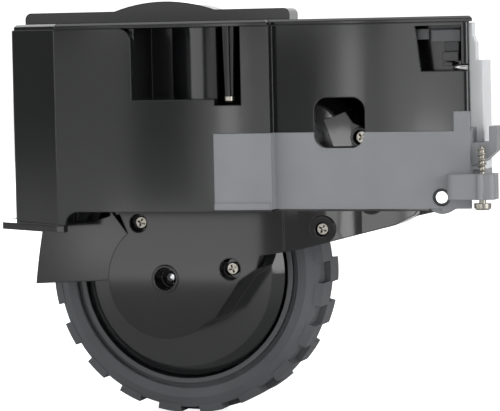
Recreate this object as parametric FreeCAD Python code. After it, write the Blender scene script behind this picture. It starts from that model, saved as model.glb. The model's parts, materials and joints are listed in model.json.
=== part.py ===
import FreeCAD, Part
import math
import os

# Suspended drive wheel module of a robot vacuum: a fixed housing with a pivot bracket, and a
# sprung arm that carries a motor, a gear train and the tyred wheel.
# Millimetres. Z is up, X runs along the module with the pivot end at high X, and Y runs from
# the gear side (low Y) to the wheel side. The origin is on the captive screw, at the top face
# of the lug that holds it.

V = FreeCAD.Vector
SHARP_CORNERS = 2
Y_AXIS = V(0, 1, 0)
Z_AXIS = V(0, 0, 1)

# Joint centres in the XZ plane
PIVOT = (-10.2, -5.8)
AXLE = (-82.6, -26.5)

# Housing walls
WALL = 1.6
WALL_TOP = 36.8
WALL_FOOT = -9.2
FRONT_LEFT_Y = -2.0
FRONT_RIGHT_Y = 1.0
LEFT_X = -125.2
CHAMFER_X = -109.2
CHAMFER_Y = 10.5
STEP_X = -52.9
RIGHT_X = -3.0
RIGHT_BACK_X = -13.9
WALL_BOW = 0.9
CORNER_R = 2.0
FRONT_CORNER_R = 1.2

# Foot flange at the left end, with its screw hole
FLANGE_T = 1.75
FLANGE_TOP = -12.6
FLANGE_RUN = 18.0
FLANGE_RIGHT_X = LEFT_X + FLANGE_RUN
FLANGE_HOLE = (-129.9, 24.0)
FLANGE_HOLE_R = 1.7
FLANGE_EAR_R = 3.4
FLANGE_CURVE_R = 3.4
FLANGE_LIP = 1.2
FLANGE_REACH = 3.4

# Openings in the front wall
POCKET_LEFT_X = -88.5
POCKET_RIGHT_X = -67.0
POCKET_FLOOR = 18.8
POCKET_DEPTH = 16.5
POCKET_FLAT = 6.0
POCKET_SHALLOW_Y = 0.9
POCKET_SHOULDER_R = 3.6
POCKET_SKIN = 1.4
SLOT_RIGHT_X = -60.1
SLOT_FLOOR = 17.3
SIGHT_HOLE = (-42.2, -29.3, 6.4, 18.8)
SIGHT_HOLE_R = 3.3
SWITCH_WINDOW = (-16.4, -5.1, 24.9, 35.9)
WINDOW_SLANT = 1.3
BACK_ARCH_R = 30.0
PIVOT_BAY_TOP = 0.6

# Top cover: plate, ridge and hump
PLATE_T = 1.4
PLATE_INSET = 0.5
PLATE_REACH = 1.2
PLATE_CHAMFER = 0.6
RIDGE_TOP = 41.1
RIDGE_LEFT_X = -121.6
RIDGE_RIGHT_X = -51.0
RIDGE_FRONT_Y = 12.0
RIDGE_DEPTH = 8.0
RIDGE_WALL = 1.6
RIDGE_CORNER_R = 1.6
HUMP_X = -84.0
HUMP_TOP = 43.4
HUMP_R = 39.8
POST_X = -63.6
POST_Y = 0.5
POST_TOP_R = 1.5
POST_FOOT_R = 1.0
POST_RIB_T = 0.8
POST_CORE = 0.7
POST_FOOT = 19.4
POST_TIP_R = 1.3
POST_TIP_H = 1.5
POST_TIP_DOME = 0.5

# Pivot bracket
BAND_T = 1.2
BAND_LEFT_X = -67.0
BAND_TOP = 10.3
BAND_FOOT = -8.6
BAND_TAB = (-7.0, -3.1, 15.1)
BAND_BEAD_Z = -6.9
BAND_BEAD_T = 0.35
EAR_R = 4.1
EAR_T = 2.4
REAR_EAR_R = 3.2
REAR_EAR_Y = 23.9
REAR_EAR_T = 2.6
WEB_X = -5.9
WEB_T = 1.5
LUG_LEFT_X = -8.3
LUG_RIGHT_X = 3.6
LUG_HALF_Y = 3.4
LUG_T = 6.2
LUG_ROUND = 1.6
CRADLE_RIGHT_X = 3.2
CRADLE_FLOOR = 7.4
CRADLE_TOP = 11.3
CRADLE_T = 1.9
CRADLE_LEFT_IN = 2.6
LEDGE_T = 1.6

# Captive screw: its neck turns in the lug, and the thread above is too wide to drop out
SCREW_R = 1.1
SCREW_THREAD_TOP = 6.3
SCREW_TIP_Z = 7.0
SCREW_TIP_R = 0.4
SCREW_NECK_R = 0.85
SCREW_HOLE_R = 1.0
SCREW_HEAD_R = 2.1
SCREW_HEAD_H = 1.65
SCREW_HEAD_EDGE = 0.5
SCREW_NECK_BELOW = 1.0

# Pivot pin, bushes and torsion spring
PIN_R = 1.7
PIN_FRONT_Y = -0.6
PIN_GAP = 0.03
BUSH_WALL = 0.45
BARREL_R = 3.5
BARREL_FRONT_Y = 13.6
BARREL_END_GAP = 0.4
SPRING_WIRE = 1.4
SPRING_TURNS = 6
SPRING_INNER_R = 2.2
SPRING_LEG_TOP = 24.6
SPRING_HOOK = ((-7.0, 3.4, 25.75), (-3.6, 2.2, 25.7))
HOOK_NOTCH = (24.9, 26.5)
SPRING_ARM_LEG = 10.0
SPRING_FRONT_GAP = 0.9
LEG_HOLE_GAP = 0.05

# Connector
PLUG_FRONT_Y = 9.0
PLUG_BACK_Y = 19.0
PLUG_LEFT_X = -4.6
PLUG_RIGHT_X = -1.4
PLUG_FOOT = 0.5
PLUG_SHELF = 27.2
PLUG_TOP = 36.5
PLUG_UPPER_RIGHT_X = -3.0
PLUG_TOP_RIGHT_X = -3.8
PLUG_TAPER_Z = 31.5
PLUG_UPPER_BACK_Y = 12.5
CONTACT_COUNT = 4
CONTACT_SIDE = 0.7
CONTACT_H = 3.2

# Wheel drop switch
SWITCH_BODY = (-12.7, -7.2, 32.0, 35.5)
SWITCH_FRONT_Y = 4.0
SWITCH_T = 5.0
SWITCH_BAR = (-12.7, -5.5, 32.0, 34.95)
SWITCH_BAR_Y = 3.0
SWITCH_STRIP = (-12.9, -5.6, 35.2, 35.5)
SWITCH_FLAP = (-17.0, -13.4, 32.6, 35.2)
SWITCH_FLAP_Y = 3.6
SWITCH_WEB_Y = (4.4, 5.0)
SWITCH_NECK = (-10.2, -6.7, 29.4, 32.0)
SWITCH_NECK_Y = 6.6
SWITCH_PAD = (-10.6, -6.6, 27.2, 29.5)
SWITCH_PAD_Y = 5.6
SWITCH_TAIL = (-10.4, -8.1, 26.0, 26.9)
SWITCH_TAIL_Y = 5.0
LEVER_PIVOT = (-15.4, 33.9)
LEVER_Y = (5.6, 7.6)
LEVER_FORK_T = 1.0
LEVER_SIDE_GAP = 0.3
LEVER_LENGTH = 12.0
LEVER_T = 0.8
LEVER_DROP_DEG = 22.0
LEVER_HUB_R = 1.2
LEVER_PIN_R = 0.5
SHELF_T = 1.4

# Arm casing: front cover and rear case
COVER_FRONT_Y = 4.4
COVER_RAISE = 0.5
CASE_FRONT_Y = 10.5
CASE_BACK_Y = 19.2
CASE_WALL = 1.4
SLOPE_BACK = 2.7
SLOPE_BEND_X = -31.5
SLOPE_BEND_BACK = 1.3
HUB_R = 15.2
DRUM_FRONT_Y = 18.0
DRUM_CONE_Y = 21.0
DRUM_BACK_Y = 24.0
DRUM_CONE = 2.7
DRUM_SKIN = 1.3
WELL_R = 2.85
WELL_WALL = 1.1
WELL_LIP = 0.3
WELL_LIP_T = 0.6
WELL_FLOOR_Y = 9.4
TONGUE = ((-40.9, 13.4), (-38.6, 13.9), (-35.3, 15.2), (-33.4, 12.4), (-29.4, 10.6),
          (-28.6, 2.0), (-38.4, 2.0), (-38.4, 6.0))
ARM_OUTLINE = ((-95.3, -8.0), (-92.4, -14.8), (-88.0, -26.0), (-74.8, -39.0), (-69.8, -36.4),
               (-63.0, -26.8), (-58.6, -24.0), (-57.6, -20.6), (-46.9, -18.9), (-23.4, -13.1),
               (-18.4, -10.6), (-16.8, -8.4), (-15.6, -3.0), (-16.4, 2.0), (-24.0, 4.6),
               (-38.0, 4.6), (-46.0, 6.0), (-60.0, 8.0), (-70.0, -1.2), (-84.0, -4.9))
FACET = ((-51.4, -9.0), (-46.9, -18.9))

# Cover screws: x, z of each, the radius of its boss, and the radius and depth of its mouth
COVER_SCREWS = ((-89.5, -12.4, 2.0, 2.3, 2.4), (-65.5, -24.0, 2.6, 2.7, 2.4), (-41.5, -13.9, 3.3, 1.8, 0.1),
                (-29.1, -7.4, 2.8, 1.8, 0.1), (-31.3, 8.8, 2.5, 1.8, 0.1))
COVER_SCREW_R = 1.1
COVER_SCREW_FIT = 0.02
COVER_HEAD_R = 1.65
COVER_HEAD_H = 1.1
COVER_HEAD_EDGE = 0.3
COVER_SCREW_LENGTH = 9.0
SCREW_TIP_ROOM = 0.3
COLUMN_RIB = 4.5

# Wheel guard on the arm
GUARD_Y = 12.0
GUARD_T = 1.5
GUARD_RIM_T = 2.6
GUARD_RIM_W = 1.0
GUARD_RIM_REACH = 4.1
GUARD_GAP = 0.1
GUARD_EDGE = ((-117.0, -8.4), (-119.3, -20.0), (-120.5, -28.7))
GUARD_FOOT = ((-120.5, -28.7), (-97.4, -27.6), (-95.0, -16.0), (-99.7, -9.6), (-99.9, -11.1))
GUARD_HOLLOW = ((-99.9, -11.1), (-104.6, -12.3), (-109.6, -12.6))
GUARD_STEP_Z = -8.4

# Gear train, from the motor to the wheel
TRAIN_DEG = 44.8
MOTOR_TEETH = 12
FIRST_TEETH = 54
FIRST_PINION_TEETH = 14
SECOND_TEETH = 36
SECOND_PINION_TEETH = 16
FINAL_TEETH = 64
PRESSURE_DEG = 20.0
BACKLASH = 0.12
GEAR_CLEARANCE = 0.5
GEAR_PIN_R = 1.0
PIN_SEAT = 0.4
PIN_END_WALL = 0.3
PIN_PROUD = 0.3
RUNNING_GAP = 0.05
FIRST_WHEEL_Y = (6.1, 8.4)
FIRST_PINION_END_Y = 12.0
SECOND_WHEEL_Y = (9.3, 11.9)
SECOND_PINION_END_Y = 22.2
FINAL_WHEEL_Y = (19.6, 22.0)
GEAR_SPACE_Y = 5.5
FINAL_HUB_WALL = 1.8
FINAL_HUB_FRONT = 1.6
FINAL_HUB_BACK = 0.5
FINAL_GROOVE_IN = 3.2
FINAL_GROOVE_OUT = 2.2
FINAL_GROOVE_DEPTH = 0.7

# Motor
MOTOR_R = 10.0
MOTOR_EDGE = 0.6
MOTOR_FRONT_Y = 12.0
MOTOR_CAN_LENGTH = 20.0
MOTOR_END_LENGTH = 4.5
MOTOR_BOSS_R = 3.0
MOTOR_BOSS_H = 1.4
MOTOR_SHAFT_R = 1.0
MOTOR_FIT = 0.15
MOTOR_PINION_Y = (6.1, 8.6)
MOTOR_TO_TYRE = 2.4
MOTOR_BACK_ROOM = 5.5

# Axle, bearing, rim and tyre
AXLE_R = 2.5
AXLE_TIP_R = 1.5
AXLE_DOME = 0.5
AXLE_TIP_Y = 8.3
AXLE_SHOULDER_Y = 10.9
AXLE_END_Y = 35.6
BEARING_R = 6.5
BEARING_RACE = 1.2
BEARING_T = 4.0
BEARING_BACK_Y = 27.6
RIM_SIDE_T = 1.3
RIM_RUN = 0.7
RIM_NEAR_Y = 20.7
RIM_FAR_Y = 37.8
RIM_WEB_Y = 30.2
RIM_WEB_T = 2.0
RIM_HUB_R = 6.0
RIM_RIBS = 6
RIM_RIB_T = 1.6
RIM_HUB_T = 2.0
RIM_RIB_H = 3.0
HUB_CAP_R = 5.2
HUB_CAP_H = 2.6
HUB_CAP_ROOF = 1.0
HUB_CAP_EDGE = 0.8
HUB_CAP_FIT = 0.1
TYRE_R = 36.6
TREAD_DEPTH = 1.6
TYRE_NEAR_Y = 20.5
TYRE_FAR_Y = 38.7
TYRE_BACK_ROOM = 1.7
TYRE_FIT = 0.05
TYRE_GROOVE_SHARE = 0.14
TYRE_GROOVE_DEPTH = 1.6
TYRE_LIP = 0.3
TYRE_SHOULDER_SHARE = 0.28
BLOCKS = 20
BLOCK_DEG = 9.6
BLOCK_OVERLAP = 1.4
BLOCK_SIDE_INSET = 0.8

# Sizes that follow from others. The train just spans from the axle to a motor clear of the tyre,
# the drum holds its last pinion, and the rim runs round the drum.
TRAIN_TEETH = (MOTOR_TEETH + FIRST_TEETH + FIRST_PINION_TEETH + SECOND_TEETH + SECOND_PINION_TEETH
               + FINAL_TEETH)
MODULE = 2 * (TYRE_R + MOTOR_R + MOTOR_TO_TYRE) / TRAIN_TEETH
PINION_WALL = 1.2
DRUM_MARGIN = 0.5
DRUM_R = (MODULE * (FINAL_TEETH / 2 + SECOND_PINION_TEETH + 1) + GEAR_CLEARANCE + PINION_WALL
          + DRUM_MARGIN)
DRUM_FRONT_R = DRUM_R - DRUM_CONE
RIM_BORE_R = DRUM_R + RIM_RUN
RIM_R = RIM_BORE_R + RIM_SIDE_T
TYRE_BAND = TYRE_R - RIM_R
MOTOR_TAIL_Y = MOTOR_FRONT_Y + MOTOR_CAN_LENGTH + MOTOR_END_LENGTH
BACK_Y = max(MOTOR_TAIL_Y + MOTOR_BACK_ROOM, TYRE_FAR_Y + TYRE_BACK_ROOM + WALL)
BEYOND = 60.0


def box(x0, x1, y0, y1, z0, z1):
    return Part.makeBox(x1 - x0, y1 - y0, z1 - z0, V(x0, y0, z0))


def cylinder_y(centre, radius, y0, y1):
    return Part.makeCylinder(radius, y1 - y0, V(centre[0], y0, centre[1]), Y_AXIS)


def cylinder_z(x, y, radius, z0, z1):
    return Part.makeCylinder(radius, z1 - z0, V(x, y, z0), Z_AXIS)


def ring_y(centre, outer, inner, y0, y1):
    return cylinder_y(centre, outer, y0, y1).cut(cylinder_y(centre, inner, y0 - 1, y1 + 1))


def turned_y(centre, profile):
    """A body of revolution about a Y line; the profile is (radius, y) points."""
    points = [V(centre[0] + radius, y, centre[1]) for radius, y in profile]
    face = Part.Face(Part.makePolygon(points + points[:1]))
    return face.revolve(V(centre[0], 0, centre[1]), Y_AXIS, 360)


def turned_z(x, y, profile):
    """A body of revolution about a Z line; the profile is (radius, z) points."""
    points = [V(x + radius, y, z) for radius, z in profile]
    face = Part.Face(Part.makePolygon(points + points[:1]))
    return face.revolve(V(x, y, 0), Z_AXIS, 360)


def side_prism(points, y0, y1):
    """A prism along Y from (x, z) points."""
    corners = [V(x, y0, z) for x, z in points]
    face = Part.Face(Part.makePolygon(corners + corners[:1]))
    return face.extrude(V(0, y1 - y0, 0))


def plan_face(edges, z):
    """A face in the XY plane from (x, y) runs: two points for a line, three for an arc."""
    parts = []
    for run in edges:
        at = [V(x, y, z) for x, y in run]
        curve = Part.Arc(*at) if len(at) == 3 else Part.LineSegment(*at)
        parts.append(curve.toShape())
    return Part.Face(Part.Wire(parts))


def raised(face, z0, z1):
    moved = face.copy()
    moved.translate(V(0, 0, z0))
    return moved.extrude(V(0, 0, z1 - z0))


def fused(shapes):
    return shapes[0].multiFuse(shapes[1:]).removeSplitter()


def upright_edges(shape, limit):
    """The vertical edges of a shape for which limit(x, y) is true."""
    found = []
    for edge in shape.Edges:
        ends = [vertex.Point for vertex in edge.Vertexes]
        if len(ends) < 2:
            continue
        level = abs(ends[0].x - ends[1].x) + abs(ends[0].y - ends[1].y)
        if level < 1e-6 and limit(ends[0].x, ends[0].y):
            found.append(edge)
    return found


def rounded_uprights(shape, radius, limit=lambda x, y: True):
    edges = upright_edges(shape, limit)
    return shape.makeFillet(radius, edges) if edges else shape


def save(name, shape):
    shape.exportStep("parts/" + name + ".step")


# Housing plan

def housing_plan(reach=0.0):
    """The housing's outer outline from above; reach pushes the right end outwards."""
    left = (LEFT_X, CHAMFER_Y)
    corner = (CHAMFER_X, FRONT_LEFT_Y + WALL_BOW)
    step_front = (STEP_X, FRONT_LEFT_Y + WALL_BOW)
    step_back = (STEP_X, FRONT_RIGHT_Y + WALL_BOW)
    right = (RIGHT_X + reach, FRONT_RIGHT_Y + WALL_BOW)
    right_back = (RIGHT_BACK_X + reach, BACK_Y)
    left_back = (LEFT_X, BACK_Y)
    bow_left = ((CHAMFER_X + STEP_X) / 2, FRONT_LEFT_Y)
    bow_right = ((STEP_X + right[0]) / 2, FRONT_RIGHT_Y)
    return plan_face([(left, corner), (corner, bow_left, step_front), (step_front, step_back),
                      (step_back, bow_right, right), (right, right_back),
                      (right_back, left_back), (left_back, left)], 0.0)


def inset(face, distance):
    return face.makeOffset2D(-distance, SHARP_CORNERS)


def pocket_plan():
    """The recess beside the slot, from above: a flat back that sweeps forward to the right."""
    deep = FRONT_LEFT_Y + POCKET_DEPTH
    near = FRONT_LEFT_Y - 2.0
    bend = POCKET_LEFT_X + POCKET_FLAT
    run = POCKET_RIGHT_X - bend
    rise = deep - POCKET_SHALLOW_Y
    radius = (run * run + rise * rise) / (2 * rise)
    centre_y = POCKET_SHALLOW_Y + radius
    half_turn = math.atan2(run, centre_y - deep) / 2
    middle = (POCKET_RIGHT_X - radius * math.sin(half_turn), centre_y - radius * math.cos(half_turn))
    return plan_face([((POCKET_LEFT_X, near), (POCKET_LEFT_X, deep)), ((POCKET_LEFT_X, deep), (bend, deep)),
                      ((bend, deep), middle, (POCKET_RIGHT_X, POCKET_SHALLOW_Y)),
                      ((POCKET_RIGHT_X, POCKET_SHALLOW_Y), (POCKET_RIGHT_X, near)),
                      ((POCKET_RIGHT_X, near), (POCKET_LEFT_X, near))], 0.0)


def sight_hole(y0, y1):
    x0, x1, z0, z1 = SIGHT_HOLE
    hole = box(x0, x1, y0, y1, z0, z1)
    corners = [edge for edge in hole.Edges
               if abs(edge.Vertexes[0].Point.y - edge.Vertexes[1].Point.y) > 1e-6]
    return hole.makeFillet(SIGHT_HOLE_R, corners)


def pocket_mouth():
    """The recess seen from the front, with the rounded shoulder of the panel beside it."""
    top = WALL_TOP
    near = FRONT_LEFT_Y - 1.0
    far = FRONT_LEFT_Y + WALL_BOW + WALL + 0.2
    mouth = box(POCKET_LEFT_X, POCKET_RIGHT_X, near, far, POCKET_FLOOR, top + 1)
    shoulder = box(POCKET_LEFT_X - POCKET_SHOULDER_R, POCKET_LEFT_X + 0.1, near, far,
                   top - POCKET_SHOULDER_R, top)
    round_centre = (POCKET_LEFT_X - POCKET_SHOULDER_R, top - POCKET_SHOULDER_R)
    return mouth.fuse(shoulder.cut(cylinder_y(round_centre, POCKET_SHOULDER_R, near, far)))


def flange_plan():
    hole_x, hole_y = FLANGE_HOLE
    front = FRONT_LEFT_Y + WALL_BOW
    near = front - FLANGE_LIP
    turn = FLANGE_EAR_R * math.sqrt(0.5)
    start = (FLANGE_RIGHT_X, front + WALL)
    tip = (hole_x - FLANGE_EAR_R, hole_y)
    ear_end = (hole_x, hole_y + FLANGE_EAR_R)
    out = [start, (FLANGE_RIGHT_X, near), (CHAMFER_X, near), (LEFT_X - FLANGE_REACH, CHAMFER_Y - 0.4), tip]
    home = [ear_end, (LEFT_X + WALL, hole_y + 2 * FLANGE_EAR_R), (LEFT_X + WALL, CHAMFER_Y + 1.0),
            (CHAMFER_X + 0.6, front + WALL), start]
    ear = [(tip, (hole_x - turn, hole_y + turn), ear_end)]
    return plan_face(list(zip(out, out[1:])) + ear + list(zip(home, home[1:])), 0.0)


def housing_shell():
    plan = housing_plan()
    outer = raised(plan, FLANGE_TOP, WALL_TOP)
    outer = rounded_uprights(outer, CORNER_R, lambda x, y: y > CHAMFER_Y - 1)
    outer = rounded_uprights(outer, FRONT_CORNER_R, lambda x, y: x > RIGHT_X - 1)
    shell = outer.cut(raised(inset(plan, WALL), FLANGE_TOP - 1, WALL_TOP + 1))

    # The walls end at WALL_FOOT, except at the left, where they run down to the flange.
    below = box(FLANGE_RIGHT_X + FLANGE_CURVE_R, 20, FRONT_LEFT_Y - 5, BACK_Y + 5,
                FLANGE_TOP - 1, WALL_FOOT)
    sweep_centre = (FLANGE_RIGHT_X + FLANGE_CURVE_R, WALL_FOOT - FLANGE_CURVE_R)
    sweep = cylinder_y(sweep_centre, FLANGE_CURVE_R, FRONT_LEFT_Y - 5, BACK_Y + 5)
    shell = shell.cut(below).cut(sweep)
    rear_foot = box(LEFT_X - 1, FLANGE_RIGHT_X, BACK_Y - CORNER_R - WALL, BACK_Y + 1,
                    FLANGE_TOP - 1, WALL_FOOT)
    shell = shell.cut(rear_foot)

    # Recess and its skin
    recess = raised(pocket_plan(), POCKET_FLOOR, WALL_TOP + 1)
    skin = raised(inset(pocket_plan(), -POCKET_SKIN), POCKET_FLOOR - POCKET_SKIN, WALL_TOP)
    skin = skin.common(raised(plan, FLANGE_TOP, WALL_TOP))
    behind_wall = box(LEFT_X, 0, FRONT_LEFT_Y + WALL_BOW + WALL, BACK_Y, 0, WALL_TOP + 1)
    shell = shell.fuse(skin).cut(recess.common(behind_wall))
    shell = shell.cut(pocket_mouth())

    # Slot with the post, sight hole, switch window
    near = FRONT_LEFT_Y - 1.0
    far = FRONT_RIGHT_Y + WALL_BOW + WALL + 0.5
    shell = shell.cut(box(POCKET_RIGHT_X, SLOT_RIGHT_X, near, far, SLOT_FLOOR, WALL_TOP + 1))
    shell = shell.cut(sight_hole(near, far))
    x0, x1, z0, z1 = SWITCH_WINDOW
    window = side_prism(((x0, z1), (x0 + WINDOW_SLANT, z0), (x1, z0), (x1, z1)), near, far)
    notch = box(x1 - 0.1, RIGHT_X + 1, near, far, HOOK_NOTCH[0], HOOK_NOTCH[1])
    shell = shell.cut(window).cut(notch)

    # Arch over the hub in the back wall, and the bay for the arm's pivot
    shell = shell.cut(cylinder_y(AXLE, BACK_ARCH_R, BACK_Y - 3, BACK_Y + 1))
    bay_left = PIVOT[0] - BARREL_R - 3.0
    bay = box(bay_left, 10, FRONT_RIGHT_Y + WALL_BOW + WALL, REAR_EAR_Y + REAR_EAR_T + 1.5,
              FLANGE_TOP - 1, PIVOT_BAY_TOP)
    lug_bay = box(LUG_LEFT_X, 10, near, far, FLANGE_TOP - 1, 0)
    root_bay = box(BAND_TAB[0] + CRADLE_LEFT_IN, 10, near, far, 0, CRADLE_TOP - 1)
    shell = shell.cut(bay).cut(lug_bay).cut(root_bay).cut(cylinder_y(PIVOT, EAR_R + 0.3, near, far))

    # Shelf that carries the switch
    shelf_y = SWITCH_FRONT_Y + SWITCH_T
    shelf = box(SWITCH_FLAP[0], RIGHT_X, shelf_y, shelf_y + SHELF_T, SWITCH_WINDOW[2] - 1.0, WALL_TOP)
    shelf = shelf.common(raised(inset(plan, WALL / 2), FLANGE_TOP, WALL_TOP))
    shell = shell.fuse(shelf)

    flange = raised(flange_plan(), FLANGE_TOP - FLANGE_T, FLANGE_TOP)
    hole = cylinder_z(FLANGE_HOLE[0], FLANGE_HOLE[1], FLANGE_HOLE_R, FLANGE_TOP - 5, FLANGE_TOP + 5)
    return shell.fuse(flange).cut(hole).removeSplitter()


def top_cover():
    plate = raised(inset(housing_plan(PLATE_REACH), PLATE_INSET), WALL_TOP, WALL_TOP + PLATE_T)
    plate = rounded_uprights(plate, CORNER_R, lambda x, y: y > CHAMFER_Y - 1)
    plate = plate.makeChamfer(PLATE_CHAMFER, [edge for edge in plate.Edges
                                              if edge.BoundBox.ZMin > WALL_TOP + PLATE_T - 0.01])
    back = RIDGE_FRONT_Y + RIDGE_DEPTH
    ridge = box(RIDGE_LEFT_X, RIDGE_RIGHT_X, RIDGE_FRONT_Y, back, WALL_TOP, RIDGE_TOP)
    top_edges = [edge for edge in ridge.Edges
                 if abs(edge.Vertexes[0].Point.z - edge.Vertexes[1].Point.z) < 1e-6
                 and abs(edge.Vertexes[0].Point.x - edge.Vertexes[1].Point.x) < 1e-6
                 and edge.Vertexes[0].Point.z > RIDGE_TOP - 0.1]
    ridge = ridge.makeFillet(RIDGE_CORNER_R, top_edges)
    hump_centre = (HUMP_X, HUMP_TOP - HUMP_R)
    above = box(RIDGE_LEFT_X, RIDGE_RIGHT_X, RIDGE_FRONT_Y, back, WALL_TOP, HUMP_TOP + 1)
    hump = cylinder_y(hump_centre, HUMP_R, RIDGE_FRONT_Y, back).common(above)
    hollow = box(RIDGE_LEFT_X + RIDGE_WALL, RIDGE_RIGHT_X - RIDGE_WALL, RIDGE_FRONT_Y + RIDGE_WALL,
                 back - RIDGE_WALL, WALL_TOP - 1, RIDGE_TOP - RIDGE_WALL)
    body = fused([plate, ridge, hump, slot_post()])
    return body.cut(hollow)


def slot_post():
    """Tapered post under the plate, with a cross-shaped section."""
    top, foot = POST_TOP_R, POST_FOOT_R
    rib = side_prism(((-foot, POST_FOOT), (foot, POST_FOOT), (top, WALL_TOP + 0.1), (-top, WALL_TOP + 0.1)),
                     -POST_RIB_T / 2, POST_RIB_T / 2)
    across = rib.copy()
    across.rotate(V(0, 0, 0), Z_AXIS, 90)
    core = box(-POST_CORE, POST_CORE, -POST_CORE, POST_CORE, POST_FOOT, WALL_TOP + 0.1)
    core.rotate(V(0, 0, 0), Z_AXIS, 45)
    post = fused([rib, across, core])
    post.translate(V(POST_X, POST_Y, 0))
    return post


def post_tip():
    """Domed steel stud on the foot of the post."""
    z = POST_FOOT - POST_TIP_H
    return turned_z(POST_X, POST_Y, [(0, z), (POST_TIP_R - POST_TIP_DOME, z), (POST_TIP_R, z + POST_TIP_DOME),
                                     (POST_TIP_R, POST_FOOT), (0, POST_FOOT)])


# Pivot bracket

def band_strip(x0, x1, chord_y, bow, span, proud, z0, z1):
    """A curved strip that lies on a bowed wall whose bow spans (span0, span1)."""
    chord = span[1] - span[0]
    radius = (chord * chord / 4 + bow * bow) / (2 * bow)
    centre_x = (span[0] + span[1]) / 2
    centre_y = chord_y - bow + radius
    outer = cylinder_z(centre_x, centre_y, radius + proud, z0, z1)
    inner = cylinder_z(centre_x, centre_y, radius, z0 - 1, z1 + 1)
    return outer.cut(inner).common(box(x0, x1, chord_y - 6, chord_y + 2, z0, z1))


def pivot_bracket():
    left_span = (CHAMFER_X, STEP_X)
    right_span = (STEP_X, RIGHT_X)
    left_chord = FRONT_LEFT_Y + WALL_BOW
    right_chord = FRONT_RIGHT_Y + WALL_BOW
    step = STEP_X + BAND_T * 0.4
    left = band_strip(BAND_LEFT_X, STEP_X, left_chord, WALL_BOW, left_span, BAND_T, BAND_FOOT, BAND_TOP)
    bead = band_strip(BAND_LEFT_X, STEP_X, left_chord, WALL_BOW, left_span, BAND_T + BAND_BEAD_T,
                      BAND_FOOT, BAND_BEAD_Z)
    right = band_strip(STEP_X, RIGHT_X, right_chord, WALL_BOW, right_span, BAND_T, BAND_FOOT, BAND_TOP)
    riser = box(STEP_X, step, left_chord - BAND_T, right_chord - BAND_T / 2, BAND_FOOT, BAND_TOP)
    tab_x0, tab_x1, tab_top = BAND_TAB
    tab = band_strip(tab_x0, tab_x1, right_chord, WALL_BOW, right_span, BAND_T, BAND_TOP - 1, tab_top)
    ear_y = right_chord - BAND_T
    ear = cylinder_y(PIVOT, EAR_R, ear_y, ear_y + EAR_T)
    wedge = side_prism(((PIVOT[0], PIVOT[1] - EAR_R), (PIVOT[0] + 5.2, PIVOT[1] - 2.3),
                        (RIGHT_X, PIVOT[1] - 0.4), (RIGHT_X, PIVOT[1] + 4), (PIVOT[0], PIVOT[1] + 4)),
                       ear_y - 2, right_chord + 2)
    wedge = wedge.common(band_strip(PIVOT[0], RIGHT_X, right_chord, WALL_BOW, right_span, BAND_T,
                                    PIVOT[1] - EAR_R, 0))

    # Lug for the captive screw, with a half-round rib down its front
    lug = box(LUG_LEFT_X, LUG_RIGHT_X, -LUG_HALF_Y, LUG_HALF_Y, -LUG_T, 0)
    lug = rounded_uprights(lug, LUG_ROUND, lambda x, y: y < 0 or x > 0)
    rib = cylinder_z(0, -LUG_HALF_Y + 0.2, 0.85, -LUG_T, 0)

    # Cradle round the connector's foot
    cradle_left = tab_x0 + CRADLE_LEFT_IN
    cradle = side_prism(((cradle_left, CRADLE_TOP - 0.3), (cradle_left, 2.6), (-2.6, 1.6), (0.0, 2.8),
                         (CRADLE_RIGHT_X, 5.7), (CRADLE_RIGHT_X, CRADLE_TOP),
                         (CRADLE_RIGHT_X - CRADLE_T, CRADLE_TOP), (CRADLE_RIGHT_X - CRADLE_T, CRADLE_FLOOR),
                         (RIGHT_X - 0.1, CRADLE_FLOOR), (RIGHT_X - 0.1, CRADLE_TOP - 0.3)),
                        LUG_HALF_Y - 0.9, PLUG_FRONT_Y)
    root = box(cradle_left, RIGHT_X, ear_y, LUG_HALF_Y, 0, CRADLE_TOP - 1)
    ledge = box(WEB_X, PLUG_RIGHT_X, right_chord + WALL, PLUG_BACK_Y, PLUG_FOOT - LEDGE_T, PLUG_FOOT)
    cradle = cradle.cut(raised(housing_plan(), WALL_FOOT, WALL_TOP))
    web = box(WEB_X, WEB_X + WEB_T, LUG_HALF_Y - 1, REAR_EAR_Y + REAR_EAR_T, -LUG_T + 0.2, -0.2)
    rear_ear = cylinder_y(PIVOT, REAR_EAR_R, REAR_EAR_Y, REAR_EAR_Y + REAR_EAR_T)
    rear_arm = box(PIVOT[0], WEB_X + WEB_T, REAR_EAR_Y, REAR_EAR_Y + REAR_EAR_T, -LUG_T + 0.2, -LUG_T + 3.8)

    body = fused([left, bead, riser, right, tab, ear, wedge, lug, rib, cradle, root,
                  ledge, web, rear_ear, rear_arm])
    near = FRONT_LEFT_Y - 3.0
    body = body.cut(sight_hole(near, right_chord + 1))
    body = body.cut(cylinder_z(0, 0, SCREW_HOLE_R, -LUG_T - 1, 1))
    bush_hole = PIN_R + PIN_GAP + BUSH_WALL
    return body.cut(cylinder_y(PIVOT, bush_hole, near, REAR_EAR_Y + REAR_EAR_T + 1))


def pivot_bushes():
    bore = PIN_R + PIN_GAP
    front_y = FRONT_RIGHT_Y + WALL_BOW - BAND_T
    front = ring_y(PIVOT, bore + BUSH_WALL, bore, front_y - 0.2, front_y + EAR_T)
    rear = ring_y(PIVOT, bore + BUSH_WALL, bore, REAR_EAR_Y, REAR_EAR_Y + REAR_EAR_T)
    return Part.makeCompound([front, rear])


def pivot_pin():
    pin = cylinder_y(PIVOT, PIN_R, PIN_FRONT_Y + FRONT_RIGHT_Y, REAR_EAR_Y + REAR_EAR_T + 1.0)
    return pin.makeChamfer(0.25, [edge for edge in pin.Edges if edge.Closed])


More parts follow.
